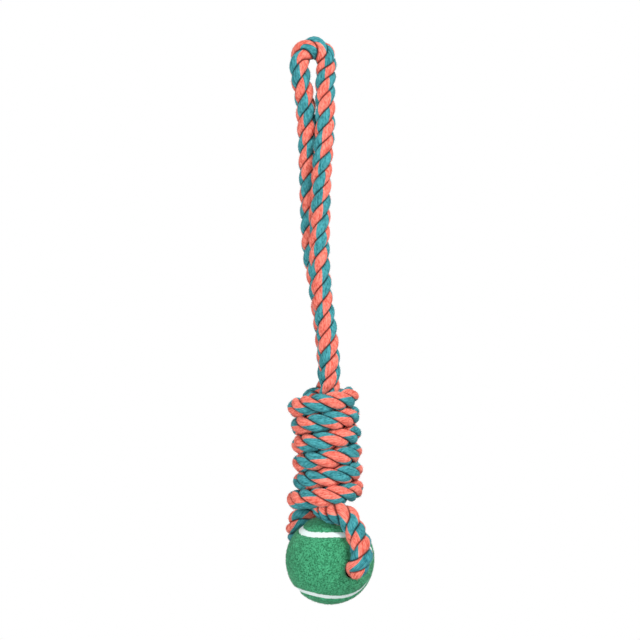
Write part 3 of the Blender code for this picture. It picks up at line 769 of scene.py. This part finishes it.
def makeWoundRope():
    path, tucked, last = windingRoute()
    runs = np.array(runLengths(path))
    shares = runs / runs[-1]
    turnLength = math.hypot(2 * math.pi * knot["turnRadius"], knot["pitch"])
    # The first turn bulges, so places are counted back from the top of the winding
    places = last + (runs - runs[-tucked - 1]) / turnLength
    core, wound = rope["coreCrest"], rope["woundCrest"]
    crests = [(0, core), (shares[tucked // 2], core), (shares[tucked], wound),
              (shares[-tucked - 1], wound), (shares[-tucked // 2], core), (1, core)]
    faces = [Vector((p.x - axisX(p.z), p.y, 0)).normalized() for p in path]
    piece = makeRope("woundRope", path, crests, woundRope, places, faces)
    fuzz = makeFibres("woundRopeFuzz", piece, cotton["fuzz"], dyedCotton)
    for part in (piece, fuzz):
        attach(part, "knot")
    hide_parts("winding")


def makeBallLoop():
    path = ballLoopPath()
    crests = [(share, rope["crest"] * factor) for share, factor in loopRope["crests"]]
    piece = makeRope("ballLoop", path, crests, loopRope, [run / mm for run in runLengths(path)],
                     [viewerSide] * len(path))
    fuzz = makeFibres("ballLoopFuzz", piece, cotton["fuzz"], dyedCotton)
    for part in (piece, fuzz):
        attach(part, "knot")
    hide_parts("ball_leg_front", "ball_rope", "ball_leg_back")


def makeCoreRopes():
    winding = windingRoute()[0]
    steps = coreRope["steps"]
    for name, node, slot, topZ, footZ in (
        ("coreFront", "core_rope_front", "frontSlot", knot["topZ"], knot["coreFootZ"]),
        ("coreHandle", "core_rope_handle", "handleSlot", knot["topZ"] - knot["handleSink"] - seatGap,
         winding[0].z + seatGap),
        ("coreBall", "core_rope_ball", "ballSlot", winding[-1].z - seatGap, knot["coreFootZ"]),
    ):
        path = [slotPoint(knot[slot], topZ + (footZ - topZ) * i / steps) for i in range(steps + 1)]
        piece = makeRope(name, path, [(0, rope["coreCrest"]), (1, rope["coreCrest"])], coreRope,
                         [run / mm for run in runLengths(path)], [viewerSide] * len(path))
        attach(piece, "knot")
        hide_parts(node)


makeHandRope()
makeWoundRope()
makeBallLoop()
makeCoreRopes()
print("rope done")

seam = {
    "width": 4.6 * mm,
    "recess": 0.7 * mm,    # under the felt
    "thickness": 1.2 * mm,
    "bendShare": 0.1607,   # how far its four bends reach round the ball
    "turn": (math.radians(91.7), math.radians(-38.6), math.radians(-54.2)),
    "points": 900,
    "colour": "#dfeeec",
    "grain": 0.7 * mm,
    "relief": 0.2 * mm,
    "reliefStrength": 0.4,
    "surface": {"Roughness": 0.6},
}

felt = {
    "thickness": 2.0 * mm,
    "edgeWander": 0.6 * mm,   # how far a cut edge strays from its line
    "edgeWanderSize": 1.1 * mm,
    "edgeSlant": 0.4,         # how much the noise along the edge changes across it
    "edgeDrop": 0.9 * mm,     # how far the felt sinks at its edges
    "edgeRound": 0.7 * mm,
    "lump": 0.16 * mm,
    "lumpSizes": ((4 * mm, 1), (1.6 * mm, 0.5)),  # each with its share of the height
    "colours": ("#51b987", "#0b5330"),
    "surface": {"Roughness": 1.0, "Specular IOR Level": 0.2, "Sheen Weight": 0.08, "Sheen Roughness": 0.6},
    "grain": 0.95 * mm,
    "tuft": 0.8 * mm,
    "tuftWeight": 1.6,
    "shadeRange": (0.5, 2.1),
    "relief": 0.5 * mm,
    "reliefStrength": 0.3,
    "nap": {"perSquareMm": 2.2, "length": 0.55 * mm, "width": 0.1 * mm, "lean": 0.6 * mm, "leastReach": 0.5,
            "seed": 6},  # thicker than real wool, so that it shows
    "subdivisions": 7,
    "snap": 0.3 * mm,         # vertices this close to an edge are moved onto it
    "searchBlock": 4000,      # vertices looked at together, to save memory
}

coreRubber = {"colour": "#2b2928", "surface": {"Roughness": 0.75}}


def seamCurve(count):
    # The closed curve that parts a ball into two equal dumb-bell panels
    bend = seam["bendShare"]
    angles = np.linspace(0, 2 * np.pi, count, endpoint=False)
    curve = np.stack([(1 - bend) * np.cos(angles) + bend * np.cos(3 * angles),
                      (1 - bend) * np.sin(angles) - bend * np.sin(3 * angles),
                      2 * math.sqrt((1 - bend) * bend) * np.sin(2 * angles)], axis=1)
    turn = np.array(Euler(seam["turn"], "XYZ").to_matrix())
    curve = curve @ turn.T
    return curve / np.linalg.norm(curve, axis=1)[:, None] * ball["radius"]


def ballSkin():
    # A fine sphere whose edges follow the seam and the two mouths of the bore.
    # Returns the places, the faces, and each vertex's distance outside the seam's edge and the bore's
    work = bmesh.new()
    bmesh.ops.create_icosphere(work, subdivisions=felt["subdivisions"], radius=ball["radius"])
    places = np.array([tuple(v.co) for v in work.verts])
    faces = np.array([[v.index for v in f.verts] for f in work.faces])
    work.free()
    curve = seamCurve(seam["points"])
    nearest = np.zeros_like(places)
    step = felt["searchBlock"]
    for start in range(0, len(places), step):
        block = places[start:start + step]
        apart = ((block[:, None] - curve[None]) ** 2).sum(axis=2)
        nearest[start:start + step] = curve[apart.argmin(axis=1)]
    away = places - nearest
    distance = np.linalg.norm(away, axis=1)
    wander = [noise.noise(Vector(p) / felt["edgeWanderSize"]) for p in nearest + away * felt["edgeSlant"]]
    seamSide = distance - seam["width"] / 2 - np.array(wander) * felt["edgeWander"]
    close = np.abs(seamSide) < felt["snap"]
    places[close] -= away[close] / distance[close, None] * seamSide[close, None]
    seamSide[close] = 0
    bore = np.array(tuple(ball["bore"]))
    outward = places - (places @ bore)[:, None] * bore
    reach = np.linalg.norm(outward, axis=1)
    boreSide = reach - ball["boreRadius"]
    close = np.abs(boreSide) < felt["snap"]
    places[close] -= outward[close] / reach[close, None] * boreSide[close, None]
    boreSide[close] = 0
    return places / np.linalg.norm(places, axis=1)[:, None], faces, seamSide, boreSide


def groupsOf(faces, count):
    # Connected groups of faces, largest first
    owner, before = np.arange(count), None
    while before is None or (owner != before).any():
        before = owner.copy()
        least = owner[faces].min(axis=1)
        for i in range(3):
            np.minimum.at(owner, faces[:, i], least)
        owner = owner[owner]
    labels = owner[faces[:, 0]]
    values, counts = np.unique(labels, return_counts=True)
    return [faces[labels == value] for value in values[np.argsort(-counts)]]


def wallMesh(name, directions, outer, inner, faces):
    # A closed wall about the ball's middle, between two radii at each vertex, or a skin at the outer one
    used, index = np.unique(faces, return_inverse=True)
    index = index.reshape(-1, 3)
    centre = np.array(tuple(ball["centre"]))
    places = directions[used] * outer[used, None] + centre
    walls = index.tolist()
    if inner is not None:
        places = np.concatenate([places, directions[used] * inner[used, None] + centre])
        count = len(used)
        edges = {(a, b) for face in walls for a, b in zip(face, face[1:] + face[:1])}
        rim = [(b, a, a + count, b + count) for a, b in edges if (b, a) not in edges]
        walls = walls + (index[:, ::-1] + count).tolist() + sorted(rim)
    mesh = bpy.data.meshes.new(name)
    mesh.from_pydata([tuple(p) for p in places], [], walls)
    mesh.shade_smooth()
    return mesh


def makeFelt():
    # Needled wool felt: matt, mottled, with a short nap
    material, shader = makeMaterial("needledFelt", felt["surface"])
    tree = material.node_tree
    place = addNode(tree, "ShaderNodeTexCoord").outputs["Object"]
    grain = addNode(tree, "ShaderNodeTexNoise", {
        "Vector": place, "Scale": 1 / felt["grain"], "Detail": 2.0, "Roughness": 0.7}).outputs[0]
    tufts = addNode(tree, "ShaderNodeTexVoronoi", {
        "Vector": place, "Scale": 1 / felt["tuft"]}).outputs["Color"]
    amount = addNode(tree, "ShaderNodeMath", {0: tufts, 1: felt["tuftWeight"], 2: grain},
                     operation="MULTIPLY_ADD").outputs[0]
    lightest, darkest = felt["shadeRange"]
    shade = addNode(tree, "ShaderNodeMapRange", {
        "Value": amount, "From Min": lightest, "From Max": darkest}).outputs[0]
    light, dark = (linearColour(text) for text in felt["colours"])
    mottled = addNode(tree, "ShaderNodeMix", {0: shade, 6: light, 7: dark}, data_type="RGBA").outputs[2]
    tree.links.new(mottled, shader.inputs["Base Color"])
    bump = addNode(tree, "ShaderNodeBump", {
        "Height": grain, "Strength": felt["reliefStrength"], "Distance": felt["relief"]})
    tree.links.new(bump.outputs[0], shader.inputs["Normal"])
    return material


def makeSeamRubber():
    # Cured rubber seam between the felts: off-white, satin, a little rough
    colour = linearColour(seam["colour"])
    material, shader = makeMaterial("curedSeam", {"Base Color": colour, **seam["surface"]})
    tree = material.node_tree
    place = addNode(tree, "ShaderNodeTexCoord").outputs["Object"]
    grain = addNode(tree, "ShaderNodeTexNoise", {
        "Vector": place, "Scale": 1 / seam["grain"], "Detail": 3.0}).outputs[0]
    bump = addNode(tree, "ShaderNodeBump", {
        "Height": grain, "Strength": seam["reliefStrength"], "Distance": seam["relief"]})
    tree.links.new(bump.outputs[0], shader.inputs["Normal"])
    return material


def makeCoreRubber():
    # Moulded rubber core, dark and dull
    colour = linearColour(coreRubber["colour"])
    return makeMaterial("mouldedRubber", {"Base Color": colour, **coreRubber["surface"]})[0]


def makeBall():
    directions, faces, seamSide, boreSide = ballSkin()
    outside = (boreSide[faces] >= 0).all(axis=1)
    lumps = sum(share * np.array([noise.noise(Vector(p) * ball["radius"] / size) for p in directions])
                for size, share in felt["lumpSizes"]) * felt["lump"]
    drop = felt["edgeDrop"] * np.exp(-np.maximum(np.minimum(seamSide, boreSide), 0) / felt["edgeRound"])
    outer = ball["radius"] - drop + lumps
    inner = np.full(len(outer), ball["radius"] - felt["thickness"])
    needledFelt, curedSeam = makeFelt(), makeSeamRubber()
    panels = groupsOf(faces[outside & (seamSide[faces] >= 0).all(axis=1)], len(directions))[:2]
    for name, node, panel in zip(("feltPanelA", "feltPanelB"), ("felt_panel_a", "felt_panel_b"), panels):
        piece = addObject(name, wallMesh(name, directions, outer, inner, panel), needledFelt)
        skin = addObject(name + "Skin", wallMesh(name + "Skin", directions, outer, None, panel))
        reach = skin.data.attributes.new("reach", "FLOAT", "POINT").data
        reach.foreach_set("value", [1.0] * len(skin.data.vertices))
        nap = makeFibres(name + "Nap", skin, felt["nap"], needledFelt)
        bpy.data.objects.remove(skin)
        for part in (piece, nap):
            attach(part, "ball")
        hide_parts(node)
        print(name, len(piece.data.polygons), "faces")
    outer = ball["radius"] - seam["recess"] + lumps / 2
    strip = faces[outside & (seamSide[faces] <= 0).all(axis=1)]
    wall = wallMesh("whiteSeam", directions, outer, outer - seam["thickness"], strip)
    piece = addObject("whiteSeam", wall, curedSeam)
    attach(piece, "ball")
    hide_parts("ball_seam")
    rubber = makeCoreRubber()
    for name in ("ball_core_front", "ball_core_back"):
        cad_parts[name].data.materials.clear()
        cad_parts[name].data.materials.append(rubber)


makeBall()
print("ball done")

lighting = {
    "aim": (0.01, 0, -0.19),
    "lamps": {  # place, size and watts
        "keyLamp": ((0.8, -1.05, 0.95), (0.4, 0.5), 23),
        "fillLamp": ((-0.75, -1.35, -0.1), (0.7, 0.9), 12.5),
        "leftLamp": ((-1.2, -0.4, 0.0), (0.6, 0.9), 5),
        "rightLamp": ((1.2, -0.4, -0.1), (0.6, 0.9), 5),
        "lowLamp": ((0.1, -0.6, -1.2), (0.9, 0.9), 6),
        "backLamp": ((0.3, 1.5, 0.4), (0.9, 0.9), 18),
    },
    "worldShare": 0.2,  # how much of the white world lights the toy
}


def addLamp(name, place, size, power):
    data = bpy.data.lights.new(name, "AREA")
    data.shape = "RECTANGLE"
    data.size, data.size_y = size
    data.energy = power
    lamp = addObject(name, data)
    lamp.location = place
    lamp.rotation_euler = (Vector(lighting["aim"]) - Vector(place)).to_track_quat("-Z", "Y").to_euler()


def makeLight():
    for name, (place, size, power) in lighting["lamps"].items():
        addLamp(name, place, size, power)
    # The world is white to the eye, in reflections and through glass, and lights the toy only a little
    world = bpy.data.worlds.new("studio")
    world.use_nodes = True
    tree = world.node_tree
    rays = addNode(tree, "ShaderNodeLightPath").outputs
    seen = addNode(tree, "ShaderNodeMath", {0: rays["Is Camera Ray"], 1: rays["Is Glossy Ray"]},
                   operation="MAXIMUM").outputs[0]
    seen = addNode(tree, "ShaderNodeMath", {0: seen, 1: rays["Is Transmission Ray"]},
                   operation="MAXIMUM").outputs[0]
    strength = addNode(tree, "ShaderNodeMapRange", {
        "Value": seen, "To Min": lighting["worldShare"], "To Max": 1.0}).outputs[0]
    tree.nodes["Background"].inputs["Color"].default_value = (1, 1, 1, 1)
    tree.links.new(strength, tree.nodes["Background"].inputs["Strength"])
    bpy.context.scene.world = world


makeLight()
print("light done")
bpy.context.scene.view_settings.view_transform = "Standard"
